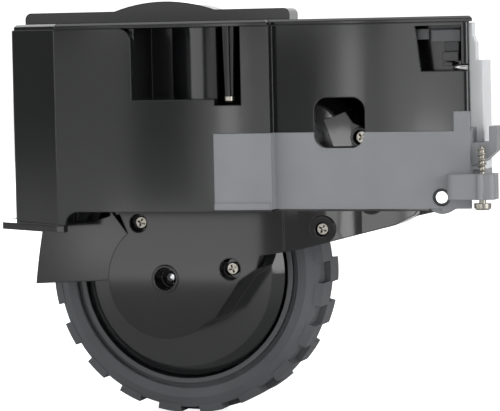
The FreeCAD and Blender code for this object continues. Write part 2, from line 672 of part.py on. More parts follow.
def captive_screw():
    head_top = -LUG_T - SCREW_NECK_BELOW
    head_foot = head_top - SCREW_HEAD_H
    screw = turned_z(0, 0, [(0, head_foot), (SCREW_HEAD_R - SCREW_HEAD_EDGE, head_foot),
                            (SCREW_HEAD_R, head_foot + SCREW_HEAD_EDGE), (SCREW_HEAD_R, head_top),
                            (SCREW_NECK_R, head_top), (SCREW_NECK_R, 0), (SCREW_R, 0),
                            (SCREW_R, SCREW_THREAD_TOP), (SCREW_TIP_R, SCREW_TIP_Z), (0, SCREW_TIP_Z)])
    recess = cross_recess(SCREW_HEAD_R, 0.9)
    recess.rotate(V(0, 0, 0), V(1, 0, 0), -90)
    recess.translate(V(0, 0, head_foot))
    return screw.cut(recess)


def cross_recess(radius, depth):
    """A tapered cross, mouth at y = 0 and point at y = depth."""
    arm = radius * 0.62
    half = radius * 0.15
    wide = Part.makeWedge(-arm, 0, -half, -half * 0.6, -arm * 0.5, arm, depth, half, half * 0.6, arm * 0.5)
    turned = wide.copy()
    turned.rotate(V(0, 0, 0), Y_AXIS, 90)
    return wide.fuse(turned)


def spring_front_y():
    return FRONT_RIGHT_Y + WALL_BOW - BAND_T + EAR_T + SPRING_FRONT_GAP


def arm_leg(radius):
    """The spring's leg that lies in the arm, or the hole for it."""
    y = spring_front_y() + SPRING_TURNS * SPRING_WIRE - SPRING_WIRE / 2
    z = PIVOT[1] + SPRING_INNER_R + SPRING_WIRE / 2
    return Part.makeCylinder(radius, SPRING_ARM_LEG, V(PIVOT[0], y, z), V(-1, 0, 0))


def wire_run(start, end, radius):
    """A straight run of wire that laps past its start, so that the bend there is closed."""
    way = end - start
    lap = way * (radius / 2 / way.Length)
    return Part.makeCylinder(radius, way.Length + radius / 2, start - lap, way)


def torsion_spring():
    """Close coils on the pivot pin; one leg hooks in the housing, the other presses on the arm."""
    half = SPRING_WIRE / 2
    mean = SPRING_INNER_R + half
    y0 = spring_front_y()
    profile = [(SPRING_INNER_R, y0)]
    for turn in range(SPRING_TURNS):
        start = y0 + turn * SPRING_WIRE
        profile.append((mean - half * 0.1, start))
        profile.append((SPRING_INNER_R + SPRING_WIRE, start + half * 0.6))
        profile.append((SPRING_INNER_R + SPRING_WIRE, start + half * 1.4))
    end = y0 + SPRING_TURNS * SPRING_WIRE
    profile.append((mean - half * 0.1, end))
    profile.append((SPRING_INNER_R, end))
    coils = turned_y(PIVOT, profile)
    leg_x = PIVOT[0] + mean
    leg_y = y0 + half
    leg = cylinder_z(leg_x, leg_y, half, PIVOT[1], SPRING_LEG_TOP + half / 2)
    bends = [V(leg_x, leg_y, SPRING_LEG_TOP)] + [V(*place) for place in SPRING_HOOK]
    hook = [wire_run(bends[0], bends[1], half), wire_run(bends[1], bends[2], half)]
    return fused([coils, leg, arm_leg(half)] + hook)


# Connector and switch

def connector_body():
    lower = box(PLUG_LEFT_X, PLUG_RIGHT_X, PLUG_FRONT_Y, PLUG_BACK_Y, PLUG_FOOT, PLUG_SHELF)
    upper = side_prism(((PLUG_LEFT_X, PLUG_SHELF - 1), (PLUG_UPPER_RIGHT_X, PLUG_SHELF - 1),
                        (PLUG_UPPER_RIGHT_X, PLUG_TAPER_Z), (PLUG_TOP_RIGHT_X, PLUG_TAPER_Z + 2),
                        (PLUG_TOP_RIGHT_X, PLUG_TOP), (PLUG_LEFT_X, PLUG_TOP)),
                       PLUG_FRONT_Y, PLUG_UPPER_BACK_Y)
    body = fused([lower, upper])
    pitch = contact_pitch()
    slots = []
    for index in range(CONTACT_COUNT):
        y = contact_y(index, pitch)
        x = contact_x()
        half = CONTACT_SIDE * 0.8
        slots.append(box(x - half, x + half, y - half, y + half, PLUG_SHELF - CONTACT_H, PLUG_SHELF + 1))
    return body.cut(slots[0].multiFuse(slots[1:]))


def contact_pitch():
    return (PLUG_BACK_Y - PLUG_UPPER_BACK_Y) / CONTACT_COUNT


def contact_y(index, pitch):
    return PLUG_UPPER_BACK_Y + pitch * (index + 0.5)


def contact_x():
    return (PLUG_LEFT_X + PLUG_RIGHT_X) / 2


def connector_contacts():
    pitch = contact_pitch()
    half = CONTACT_SIDE / 2
    blades = []
    for index in range(CONTACT_COUNT):
        y = contact_y(index, pitch)
        x = contact_x()
        blades.append(box(x - half, x + half, y - half, y + half, PLUG_SHELF - CONTACT_H, PLUG_SHELF - 0.3))
    return Part.makeCompound(blades)


def slab(span, y0, y1):
    """A block from (x0, x1, z0, z1) between two Y levels."""
    x0, x1, z0, z1 = span
    return box(x0, x1, y0, y1, z0, z1)


def switch_body():
    back = SWITCH_FRONT_Y + SWITCH_T
    body = slab(SWITCH_BODY, SWITCH_FRONT_Y, back)
    bar = slab(SWITCH_BAR, SWITCH_BAR_Y, SWITCH_FRONT_Y)
    strip = slab(SWITCH_STRIP, SWITCH_BAR_Y + 0.2, SWITCH_FRONT_Y)
    ledge = box(SWITCH_STRIP[0], SWITCH_BODY[0], SWITCH_FRONT_Y, SWITCH_WEB_Y[1],
                SWITCH_STRIP[2], SWITCH_STRIP[3])
    flap = slab(SWITCH_FLAP, SWITCH_FLAP_Y, SWITCH_WEB_Y[0])
    web = box(SWITCH_FLAP[0], SWITCH_BODY[0], SWITCH_WEB_Y[0], SWITCH_WEB_Y[1],
              SWITCH_FLAP[2], SWITCH_FLAP[3])
    neck = slab(SWITCH_NECK, SWITCH_NECK_Y, back)
    pad = slab(SWITCH_PAD, SWITCH_PAD_Y, back)
    tail = slab(SWITCH_TAIL, SWITCH_TAIL_Y, back)
    stem = box(SWITCH_TAIL[0] + 0.6, SWITCH_TAIL[1] - 0.6, SWITCH_NECK_Y, back, SWITCH_TAIL[2], SWITCH_PAD[2])
    x, z = LEVER_PIVOT
    fork_y = LEVER_Y[1] + LEVER_SIDE_GAP
    fork = box(x - 1.1, SWITCH_BODY[0], fork_y, fork_y + LEVER_FORK_T, z - 1.1, z + 1.1)
    pin = cylinder_y(LEVER_PIVOT, LEVER_PIN_R, SWITCH_WEB_Y[1], fork_y)
    return fused([body, bar, strip, ledge, flap, web, neck, pad, tail, stem, fork, pin])


def switch_lever():
    x, z = LEVER_PIVOT
    hub = cylinder_y(LEVER_PIVOT, LEVER_HUB_R, LEVER_Y[0], LEVER_Y[1])
    blade = box(x - LEVER_LENGTH, x, LEVER_Y[0], LEVER_Y[1], z - LEVER_T / 2, z + LEVER_T / 2)
    foot = cylinder_y((x - LEVER_LENGTH, z), LEVER_HUB_R, LEVER_Y[0], LEVER_Y[1])
    blade = blade.fuse(foot)
    blade.rotate(V(x, 0, z), Y_AXIS, -LEVER_DROP_DEG)
    bore = cylinder_y(LEVER_PIVOT, LEVER_PIN_R + RUNNING_GAP, LEVER_Y[0] - 1, LEVER_Y[1] + 1)
    return fused([hub, blade]).cut(bore)


# Arm geometry

def gear_radius(teeth):
    return MODULE * teeth / 2


def along_train(distance):
    angle = math.radians(TRAIN_DEG)
    return (AXLE[0] + distance * math.cos(angle), AXLE[1] + distance * math.sin(angle))


FINAL_CENTRES = gear_radius(FINAL_TEETH) + gear_radius(SECOND_PINION_TEETH)
SECOND_CENTRES = gear_radius(SECOND_TEETH) + gear_radius(FIRST_PINION_TEETH)
FIRST_CENTRES = gear_radius(FIRST_TEETH) + gear_radius(MOTOR_TEETH)
SECOND_AT = along_train(FINAL_CENTRES)
FIRST_AT = along_train(FINAL_CENTRES + SECOND_CENTRES)
MOTOR_AT = along_train(FINAL_CENTRES + SECOND_CENTRES + FIRST_CENTRES)


def gear_space(teeth):
    """Radius of the room that a gear needs inside the casing."""
    return gear_radius(teeth) + MODULE + GEAR_CLEARANCE


def gear_rooms(y0, y1):
    rooms = [cylinder_y(MOTOR_AT, gear_space(MOTOR_TEETH), y0, y1),
             cylinder_y(FIRST_AT, gear_space(FIRST_TEETH), y0, y1),
             cylinder_y(SECOND_AT, gear_space(SECOND_TEETH), y0, y1)]
    return fused(rooms)


def arm_body(less, y0, y1):
    """The arm's outline as a prism, drawn in by less on every side."""
    corners = [V(x, y0, z) for x, z in ARM_OUTLINE]
    face = Part.Face(Part.makePolygon(corners + corners[:1]))
    if less:
        face = face.makeOffset2D(-less, SHARP_CORNERS)
    body = face.extrude(V(0, y1 - y0, 0))
    pads = [body, cylinder_y(AXLE, HUB_R - less, y0, y1),
            cylinder_y(MOTOR_AT, gear_space(MOTOR_TEETH) + CASE_WALL - less, y0, y1),
            cylinder_y(FIRST_AT, gear_space(FIRST_TEETH) + CASE_WALL - less, y0, y1),
            cylinder_y(SECOND_AT, gear_space(SECOND_TEETH) + CASE_WALL - less, y0, y1)]
    return fused(pads)


def screw_columns(y0, y1):
    return [cylinder_y((x, z), radius, y0, y1) for x, z, radius, mouth, sunk in COVER_SCREWS]


def slope_cut():
    """What the cover loses towards the pivot: its front bows away, and leans back past a crease."""
    start = FACET[0][0]
    bend = (SLOPE_BEND_X, COVER_FRONT_Y + SLOPE_BEND_BACK)
    end = (PIVOT[0], COVER_FRONT_Y + SLOPE_BACK)
    middle = ((start + bend[0]) / 2, COVER_FRONT_Y + SLOPE_BEND_BACK / 4)
    ahead = COVER_FRONT_Y - 10
    face = plan_face([((start, COVER_FRONT_Y), middle, bend), (bend, end), (end, (end[0], ahead)),
                      ((end[0], ahead), (start, ahead)), ((start, ahead), (start, COVER_FRONT_Y))], 0.0)
    return raised(face, -BEYOND, BEYOND)


def cover_front_at(x):
    """The Y level of the cover's front at x."""
    start = FACET[0][0]
    if x < start:
        return COVER_FRONT_Y - COVER_RAISE
    if x < SLOPE_BEND_X:
        share = (x - start) / (SLOPE_BEND_X - start)
        return COVER_FRONT_Y + SLOPE_BEND_BACK * share * share
    share = (x - SLOPE_BEND_X) / (PIVOT[0] - SLOPE_BEND_X)
    return COVER_FRONT_Y + SLOPE_BEND_BACK + (SLOPE_BACK - SLOPE_BEND_BACK) * share


def gear_cover():
    body = arm_body(0.0, COVER_FRONT_Y - COVER_RAISE, CASE_FRONT_Y)
    tongue = side_prism(TONGUE, COVER_FRONT_Y, CASE_FRONT_Y)
    (fx0, fz0), (fx1, fz1) = FACET
    lean = (fx0 - fx1) / (fz0 - fz1)
    top = (fx0 + lean * (BEYOND - fz0), BEYOND)
    foot = (fx1 - lean * (BEYOND + fz1), -BEYOND)
    right = side_prism((top, foot, (BEYOND, -BEYOND), (BEYOND, BEYOND)),
                       COVER_FRONT_Y - COVER_RAISE - 1, COVER_FRONT_Y)
    body = fused([body.cut(right), tongue]).cut(slope_cut())
    bosses = screw_columns(COVER_FRONT_Y - COVER_RAISE + 0.2, CASE_FRONT_Y)
    body = fused([body] + bosses[2:])
    room = gear_rooms(GEAR_SPACE_Y, CASE_FRONT_Y + 1)
    shallow = arm_body(CASE_WALL, CASE_FRONT_Y - 2.2, CASE_FRONT_Y + 1)
    for column in screw_columns(0, CASE_FRONT_Y + 2):
        room = room.cut(column)
        shallow = shallow.cut(column)
    lip_y = COVER_FRONT_Y - COVER_RAISE - WELL_LIP
    well = ring_y(AXLE, WELL_R + WELL_WALL, WELL_R, COVER_FRONT_Y, CASE_FRONT_Y)
    lip = ring_y(AXLE, WELL_R + WELL_LIP_T, WELL_R, lip_y, COVER_FRONT_Y)
    body = body.cut(room).cut(shallow)
    body = body.cut(cylinder_y(AXLE, WELL_R, 0, WELL_FLOOR_Y))
    floor = ring_y(AXLE, WELL_R + WELL_WALL, AXLE_TIP_R + RUNNING_GAP, WELL_FLOOR_Y, CASE_FRONT_Y)
    body = fused([body, well, lip, floor])
    for x, z, radius, mouth, sunk in COVER_SCREWS:
        body = body.cut(cylinder_y((x, z), COVER_SCREW_R, 0, CASE_FRONT_Y + 1))
        body = body.cut(cylinder_y((x, z), mouth, 0, head_seat_y(x, sunk)))
    body = body.cut(pin_bores())
    return body.cut(arm_leg(SPRING_WIRE / 2 + LEG_HOLE_GAP)).removeSplitter()


def head_seat_y(x, sunk):
    """The face that a cover screw's head bears on; its top lies sunk below the local front."""
    return cover_front_at(x) + COVER_HEAD_H + sunk


def gear_case():
    body = arm_body(0.0, CASE_FRONT_Y, CASE_BACK_Y)
    tongue = side_prism(TONGUE, CASE_FRONT_Y, MOTOR_FRONT_Y + 1.5)
    drum = turned_y(AXLE, [(0, DRUM_FRONT_Y), (DRUM_FRONT_R, DRUM_FRONT_Y), (DRUM_R, DRUM_CONE_Y),
                           (DRUM_R, DRUM_BACK_Y), (0, DRUM_BACK_Y)])
    barrel = cylinder_y(PIVOT, BARREL_R, BARREL_FRONT_Y, REAR_EAR_Y - BARREL_END_GAP)
    link = side_prism(((PIVOT[0], PIVOT[1] + BARREL_R), (-20.0, 2.4), (-20.0, -11.4),
                       (PIVOT[0], PIVOT[1] - BARREL_R)), BARREL_FRONT_Y, CASE_BACK_Y)
    seat = cylinder_y(AXLE, BEARING_R + 1.4, DRUM_BACK_Y, BEARING_BACK_Y)
    pinion_space = gear_space(SECOND_PINION_TEETH)
    pinion_pad = cylinder_y(SECOND_AT, pinion_space + PINION_WALL, DRUM_FRONT_Y, DRUM_BACK_Y)
    body = fused([body, tongue, drum, barrel, link, seat, pinion_pad])

    # Rooms: the gear plane, the drum for the last gear, and the motor's seat
    floor = DRUM_FRONT_Y - 0.4
    main = arm_body(CASE_WALL, CASE_FRONT_Y - 1, floor)
    motor_ring = cylinder_y(MOTOR_AT, MOTOR_R + CASE_WALL, MOTOR_FRONT_Y - CASE_WALL, floor + 1)
    main = main.cut(motor_ring)
    deep = arm_body(CASE_WALL, floor - 0.1, FINAL_WHEEL_Y[0]).common(
        cylinder_y(AXLE, DRUM_FRONT_R - DRUM_SKIN, floor - 1, FINAL_WHEEL_Y[0] + 1))
    last = cylinder_y(AXLE, DRUM_R - DRUM_SKIN - 0.9, FINAL_WHEEL_Y[0] - 0.4, DRUM_BACK_Y - DRUM_SKIN)
    pinion_room = cylinder_y(SECOND_AT, pinion_space - 0.1, floor - 1, DRUM_BACK_Y - DRUM_SKIN)
    rooms = fused([main, deep, last, pinion_room])
    for column in screw_columns(0, floor + 1):
        rooms = rooms.cut(column)
    x, z = COVER_SCREWS[0][:2]
    rooms = rooms.cut(box(x - COLUMN_RIB, x, 0, floor + 1, z - CASE_WALL / 2, z + CASE_WALL / 2))
    body = body.cut(rooms)
    body = body.cut(cylinder_y(MOTOR_AT, MOTOR_R + MOTOR_FIT, MOTOR_FRONT_Y, CASE_BACK_Y + 5))
    body = body.cut(cylinder_y(MOTOR_AT, gear_space(MOTOR_TEETH), CASE_FRONT_Y - 1, MOTOR_FRONT_Y + 1))
    body = body.cut(cylinder_y(AXLE, BEARING_R, BEARING_BACK_Y - BEARING_T, BEARING_BACK_Y + 1))
    body = body.cut(cylinder_y(AXLE, AXLE_R + 1.0, CASE_FRONT_Y - 1, BEARING_BACK_Y))
    body = body.cut(cylinder_y(PIVOT, PIN_R + RUNNING_GAP, 0, REAR_EAR_Y + 5))
    for x, z, radius, mouth, sunk in COVER_SCREWS:
        bore_end = head_seat_y(x, sunk) + COVER_SCREW_LENGTH + SCREW_TIP_ROOM
        body = body.cut(cylinder_y((x, z), COVER_SCREW_R, 0, bore_end))
    body = body.cut(pin_bores())
    return body.cut(arm_leg(SPRING_WIRE / 2 + LEG_HOLE_GAP)).removeSplitter()


def cover_screws():
    screws = []
    for x, z, radius, mouth, sunk in COVER_SCREWS:
        seat = head_seat_y(x, sunk)
        top = seat - COVER_HEAD_H
        shank = COVER_SCREW_R - COVER_SCREW_FIT
        screw = turned_y((x, z), [(0, top), (COVER_HEAD_R - COVER_HEAD_EDGE, top),
                                  (COVER_HEAD_R, top + COVER_HEAD_EDGE), (COVER_HEAD_R, seat),
                                  (shank, seat), (shank, seat + COVER_SCREW_LENGTH),
                                  (0, seat + COVER_SCREW_LENGTH)])
        recess = cross_recess(COVER_HEAD_R, 0.8)
        recess.rotate(V(0, 0, 0), Y_AXIS, 20 + 2 * x)
        recess.translate(V(x, top, z))
        screws.append(screw.cut(recess))
    return Part.makeCompound(screws)


def guard_outline():
    """The plate beside the tyre: curved outer edge, level foot, hollow top."""
    edge = [V(x, GUARD_Y, z) for x, z in GUARD_EDGE]
    foot = [V(x, GUARD_Y, z) for x, z in GUARD_FOOT]
    hollow = [V(x, GUARD_Y, z) for x, z in GUARD_HOLLOW]
    step_top = V(GUARD_HOLLOW[-1][0], GUARD_Y, GUARD_STEP_Z)
    edges = [Part.Arc(*edge).toShape()]
    edges += [Part.makeLine(start, end) for start, end in zip(foot, foot[1:])]
    edges += [Part.Arc(*hollow).toShape(), Part.makeLine(hollow[-1], step_top)]
    edges += [Part.makeLine(step_top, edge[0])]
    return Part.Face(Part.Wire(edges))


def wheel_guard():
    face = guard_outline()
    plate = face.extrude(V(0, GUARD_T, 0))
    rim = face.extrude(V(0, GUARD_RIM_T, 0))
    left = GUARD_EDGE[-1][0]
    keep = box(left - 1, left + GUARD_RIM_REACH, 0, BEYOND, -BEYOND, 0)
    inner = face.makeOffset2D(-GUARD_RIM_W).extrude(V(0, GUARD_RIM_T, 0))
    lip = rim.cut(inner).common(keep)
    body = plate.fuse(lip)
    return body.cut(arm_body(-GUARD_GAP, CASE_FRONT_Y - 1, CASE_BACK_Y)).removeSplitter()


# Motor and gears

def motor_can():
    back = MOTOR_FRONT_Y + MOTOR_CAN_LENGTH
    can = turned_y(MOTOR_AT, [(0, MOTOR_FRONT_Y), (MOTOR_R - MOTOR_EDGE, MOTOR_FRONT_Y),
                              (MOTOR_R, MOTOR_FRONT_Y + MOTOR_EDGE), (MOTOR_R, back), (0, back)])
    boss = cylinder_y(MOTOR_AT, MOTOR_BOSS_R, MOTOR_FRONT_Y - MOTOR_BOSS_H, MOTOR_FRONT_Y)
    return fused([can, boss]).cut(cylinder_y(MOTOR_AT, MOTOR_SHAFT_R + RUNNING_GAP, 0, back + 1))


def motor_end_cap():
    y0 = MOTOR_FRONT_Y + MOTOR_CAN_LENGTH
    y1 = y0 + MOTOR_END_LENGTH
    edge = MOTOR_R - MOTOR_EDGE / 2
    collar = MOTOR_BOSS_R + 0.2
    cap = turned_y(MOTOR_AT, [(0, y0), (edge, y0), (edge, y1 - 2.0), (edge - 1.2, y1 - 1.2),
                              (collar, y1 - 1.2), (collar, y1), (0, y1)])
    return cap.cut(cylinder_y(MOTOR_AT, MOTOR_SHAFT_R + RUNNING_GAP, y0 - 1, y1 - 1.0))


def motor_terminals():
    y0 = MOTOR_FRONT_Y + MOTOR_CAN_LENGTH + MOTOR_END_LENGTH - 1.2
    blades = []
    for side in (-1, 1):
        x = MOTOR_AT[0] + side * 5.6
        blades.append(box(x - 0.25, x + 0.25, y0, y0 + 1.9, MOTOR_AT[1] - 1.1, MOTOR_AT[1] + 1.1))
    return Part.makeCompound(blades)


def motor_shaft():
    back = MOTOR_FRONT_Y + MOTOR_CAN_LENGTH + 3.0
    return cylinder_y(MOTOR_AT, MOTOR_SHAFT_R, MOTOR_PINION_Y[0] - PIN_PROUD, back)


def involute(angle):
    return math.tan(angle) - angle


def tooth_half_angle(teeth, radius):
    """Half the angle that a tooth fills at a radius."""
    pitch = gear_radius(teeth)
    pressure = math.radians(PRESSURE_DEG)
    base = pitch * math.cos(pressure)
    half = (math.pi * MODULE / 2 - BACKLASH) / (2 * pitch)
    here = math.acos(min(1.0, base / max(radius, base)))
    return half + involute(pressure) - involute(here)


def gear(teeth, centre, y0, y1, phase):
    """A spur gear with a tooth centred at the angle phase (radians, from X towards Z)."""
    pitch = gear_radius(teeth)
    root = pitch - 1.25 * MODULE
    tip = pitch + MODULE * 0.95
    points = []
    for index in range(teeth):
        middle = phase + 2 * math.pi * index / teeth
        flank = [(radius, tooth_half_angle(teeth, radius)) for radius in (root, pitch, tip)]
        for radius, half in flank:
            points.append((radius, middle - half))
        for radius, half in reversed(flank):
            points.append((radius, middle + half))
    ring = [(centre[0] + radius * math.cos(turn), centre[1] + radius * math.sin(turn))
            for radius, turn in points]
    return side_prism(ring, y0, y1)


def facing(teeth, angle):
    """Phase of a gear that has a gap where its partner has a tooth, in the direction angle."""
    return angle + math.pi / teeth


TRAIN = math.radians(TRAIN_DEG)
BACK_TRAIN = TRAIN + math.pi


def final_gear():
    near, far = FINAL_WHEEL_Y
    wheel = gear(FINAL_TEETH, AXLE, near, far, facing(FINAL_TEETH, TRAIN))
    hub = cylinder_y(AXLE, AXLE_R + FINAL_HUB_WALL, near - FINAL_HUB_FRONT, far + FINAL_HUB_BACK)
    groove = ring_y(AXLE, gear_radius(FINAL_TEETH) - FINAL_GROOVE_OUT, AXLE_R + FINAL_GROOVE_IN,
                    near - 1, near + FINAL_GROOVE_DEPTH)
    return fused([wheel, hub]).cut(groove).cut(cylinder_y(AXLE, AXLE_R, 0, BEYOND))


def second_gear():
    pinion = gear(SECOND_PINION_TEETH, SECOND_AT, SECOND_WHEEL_Y[1], SECOND_PINION_END_Y, BACK_TRAIN)
    wheel = gear(SECOND_TEETH, SECOND_AT, SECOND_WHEEL_Y[0], SECOND_WHEEL_Y[1], facing(SECOND_TEETH, TRAIN))
    return fused([wheel, pinion]).cut(cylinder_y(SECOND_AT, GEAR_PIN_R + RUNNING_GAP, 0, BEYOND))


def first_gear():
    pinion = gear(FIRST_PINION_TEETH, FIRST_AT, FIRST_WHEEL_Y[1], FIRST_PINION_END_Y, BACK_TRAIN)
    wheel = gear(FIRST_TEETH, FIRST_AT, FIRST_WHEEL_Y[0], FIRST_WHEEL_Y[1], facing(FIRST_TEETH, TRAIN))
    return fused([wheel, pinion]).cut(cylinder_y(FIRST_AT, GEAR_PIN_R + RUNNING_GAP, 0, BEYOND))


def motor_pinion():
    pinion = gear(MOTOR_TEETH, MOTOR_AT, MOTOR_PINION_Y[0], MOTOR_PINION_Y[1], BACK_TRAIN)
    return pinion.cut(cylinder_y(MOTOR_AT, MOTOR_SHAFT_R, 0, BEYOND))


def gear_pins():
    first = cylinder_y(FIRST_AT, GEAR_PIN_R, GEAR_SPACE_Y - PIN_SEAT, CASE_BACK_Y - PIN_END_WALL)
    second = cylinder_y(SECOND_AT, GEAR_PIN_R, SECOND_WHEEL_Y[0] - PIN_PROUD, DRUM_BACK_Y)
    return Part.makeCompound([first, second])


def pin_bores():
    """Holes that the gear pins are pressed into, in the cover and in the case."""
    first = cylinder_y(FIRST_AT, GEAR_PIN_R, GEAR_SPACE_Y - PIN_SEAT, CASE_BACK_Y - PIN_END_WALL)
    second = cylinder_y(SECOND_AT, GEAR_PIN_R, CASE_FRONT_Y, DRUM_BACK_Y)
    return first.fuse(second)


# Wheel

def wheel_axle():
    dome = AXLE_DOME
    return turned_y(AXLE, [(0, AXLE_TIP_Y - dome / 2), (AXLE_TIP_R - 2 * dome, AXLE_TIP_Y - dome / 4),
                           (AXLE_TIP_R - dome, AXLE_TIP_Y), (AXLE_TIP_R, AXLE_TIP_Y + dome),
                           (AXLE_TIP_R, AXLE_SHOULDER_Y), (AXLE_R, AXLE_SHOULDER_Y),
                           (AXLE_R, AXLE_END_Y - 0.4), (AXLE_R - 0.4, AXLE_END_Y), (0, AXLE_END_Y)])


def bearing_outer():
    y0 = BEARING_BACK_Y - BEARING_T
    return ring_y(AXLE, BEARING_R, BEARING_R - BEARING_RACE, y0, BEARING_BACK_Y)


def bearing_inner():
    y0 = BEARING_BACK_Y - BEARING_T
    return ring_y(AXLE, BEARING_R - BEARING_RACE - 0.3, AXLE_R, y0, BEARING_BACK_Y)


def wheel_rim():
    web_back = RIM_WEB_Y + RIM_WEB_T
    dish = RIM_BORE_R - RIM_SIDE_T
    profile = [(AXLE_R, RIM_WEB_Y - RIM_HUB_T), (RIM_HUB_R, RIM_WEB_Y - RIM_HUB_T), (RIM_HUB_R, RIM_WEB_Y),
               (RIM_BORE_R - 0.4, RIM_WEB_Y), (RIM_BORE_R, RIM_WEB_Y - 1.0), (RIM_BORE_R, RIM_NEAR_Y),
               (RIM_R, RIM_NEAR_Y), (RIM_R, RIM_FAR_Y), (dish + 0.5, RIM_FAR_Y), (dish - 0.3, web_back),
               (RIM_HUB_R, web_back), (RIM_HUB_R, web_back + RIM_HUB_T), (AXLE_R, web_back + RIM_HUB_T)]
    rim = turned_y(AXLE, profile)
    ribs = []
    for index in range(RIM_RIBS):
        rib = box(RIM_HUB_R - 0.5, dish + 0.4, web_back - 0.3, web_back + RIM_RIB_H,
                  -RIM_RIB_T / 2, RIM_RIB_T / 2)
        rib.rotate(V(0, 0, 0), Y_AXIS, index * 360 / RIM_RIBS)
        rib.translate(V(AXLE[0], 0, AXLE[1]))
        ribs.append(rib)
    return fused([rim] + ribs)


def hub_cap():
    y0 = RIM_WEB_Y + RIM_WEB_T + RIM_HUB_T
    top = y0 + HUB_CAP_H
    roof = top - HUB_CAP_ROOF
    bore = AXLE_R + HUB_CAP_FIT
    return turned_y(AXLE, [(bore, y0), (HUB_CAP_R, y0), (HUB_CAP_R, top - HUB_CAP_EDGE),
                           (HUB_CAP_R - HUB_CAP_EDGE, top), (0, top), (0, roof), (bore, roof)])


def tread_block(angle, y0, y1):
    """One block of the tread, with sloping flanks towards the sidewall."""
    top = TYRE_R
    foot = TYRE_R - TREAD_DEPTH - 0.6
    near_flank = y0 if y0 > TYRE_NEAR_Y + 3 else y0 + BLOCK_SIDE_INSET
    far_flank = y1 if y1 < TYRE_FAR_Y - 3 else y1 - BLOCK_SIDE_INSET
    points = [V(foot, y0, 0), V(top, near_flank, 0), V(top, far_flank, 0), V(foot, y1, 0)]
    face = Part.Face(Part.makePolygon(points + points[:1]))
    block = face.revolve(V(0, 0, 0), Y_AXIS, BLOCK_DEG)
    block.rotate(V(0, 0, 0), Y_AXIS, -angle - BLOCK_DEG / 2)
    block.translate(V(AXLE[0], 0, AXLE[1]))
    return block


def tyre():
    base = TYRE_R - TREAD_DEPTH
    middle = (TYRE_NEAR_Y + TYRE_FAR_Y) / 2
    inner = RIM_R + TYRE_FIT
    lip = inner + TYRE_GROOVE_SHARE * TYRE_BAND
    groove_y = TYRE_NEAR_Y + TYRE_GROOVE_DEPTH
    shoulder = TYRE_SHOULDER_SHARE * TYRE_BAND
    wall = base - shoulder - 0.4
    slope = shoulder * 0.6
    carcass = turned_y(AXLE, [(inner, groove_y), (lip, groove_y), (lip, TYRE_NEAR_Y + TYRE_LIP),
                              (lip + TYRE_LIP, TYRE_NEAR_Y), (wall, TYRE_NEAR_Y), (base, TYRE_NEAR_Y + slope),
                              (base, TYRE_FAR_Y - slope), (wall, TYRE_FAR_Y), (inner + 0.5, TYRE_FAR_Y),
                              (inner, TYRE_FAR_Y - TYRE_LIP)])
    pitch = 360.0 / BLOCKS
    blocks = []
    for index in range(BLOCKS):
        near_angle = (index + 0.5) * pitch
        far_angle = index * pitch
        blocks.append(tread_block(near_angle, TYRE_NEAR_Y + 0.9, middle + BLOCK_OVERLAP / 2))
        blocks.append(tread_block(far_angle, middle - BLOCK_OVERLAP / 2, TYRE_FAR_Y - 0.9))
    return carcass.multiFuse(blocks).removeSplitter()


PIECES = {
    "housing_shell": housing_shell,
    "top_cover": top_cover,
    "post_tip": post_tip,
    "pivot_bracket": pivot_bracket,
    "pivot_bushes": pivot_bushes,
    "pivot_pin": pivot_pin,
    "captive_screw": captive_screw,
    "torsion_spring": torsion_spring,
    "connector_body": connector_body,
    "connector_contacts": connector_contacts,
    "switch_body": switch_body,
    "switch_lever": switch_lever,
    "gear_cover": gear_cover,
    "gear_case": gear_case,
    "cover_screws": cover_screws,
    "wheel_guard": wheel_guard,
    "motor_can": motor_can,
    "motor_end_cap": motor_end_cap,
    "motor_terminals": motor_terminals,
    "motor_shaft": motor_shaft,
    "motor_pinion": motor_pinion,
    "first_gear": first_gear,
    "second_gear": second_gear,
    "gear_pins": gear_pins,
    "final_gear": final_gear,
    "wheel_axle": wheel_axle,
    "bearing_outer": bearing_outer,
    "bearing_inner": bearing_inner,
    "wheel_rim": wheel_rim,
    "hub_cap": hub_cap,
    "tyre": tyre,
}

os.makedirs("parts", exist_ok=True)
for name, make in PIECES.items():
    save(name, make())
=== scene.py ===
import json
import math

import bmesh
import bpy
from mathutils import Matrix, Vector

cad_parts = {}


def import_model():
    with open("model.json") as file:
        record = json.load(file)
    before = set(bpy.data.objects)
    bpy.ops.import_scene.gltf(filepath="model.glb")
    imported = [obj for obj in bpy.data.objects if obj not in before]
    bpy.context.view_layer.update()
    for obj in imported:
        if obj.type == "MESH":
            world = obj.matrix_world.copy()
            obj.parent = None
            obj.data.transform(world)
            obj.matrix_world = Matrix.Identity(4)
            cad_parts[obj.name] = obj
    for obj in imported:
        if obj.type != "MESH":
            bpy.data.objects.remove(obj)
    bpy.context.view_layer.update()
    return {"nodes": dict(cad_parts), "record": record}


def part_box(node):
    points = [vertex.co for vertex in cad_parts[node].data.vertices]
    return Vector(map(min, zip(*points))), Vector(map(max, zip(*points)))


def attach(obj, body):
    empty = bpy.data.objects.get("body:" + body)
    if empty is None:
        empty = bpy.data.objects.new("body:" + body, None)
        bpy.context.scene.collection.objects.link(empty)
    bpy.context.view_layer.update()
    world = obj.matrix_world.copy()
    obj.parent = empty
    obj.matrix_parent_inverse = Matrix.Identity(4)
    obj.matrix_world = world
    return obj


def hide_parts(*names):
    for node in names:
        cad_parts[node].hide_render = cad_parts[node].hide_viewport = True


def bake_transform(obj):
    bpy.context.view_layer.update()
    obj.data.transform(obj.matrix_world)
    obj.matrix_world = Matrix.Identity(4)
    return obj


# Looks of the wheel module: procedural materials, the screw's thread and the spring's coils,
# a pale studio and the camera. Lengths are in metres unless a name says otherwise.

MM = 0.001

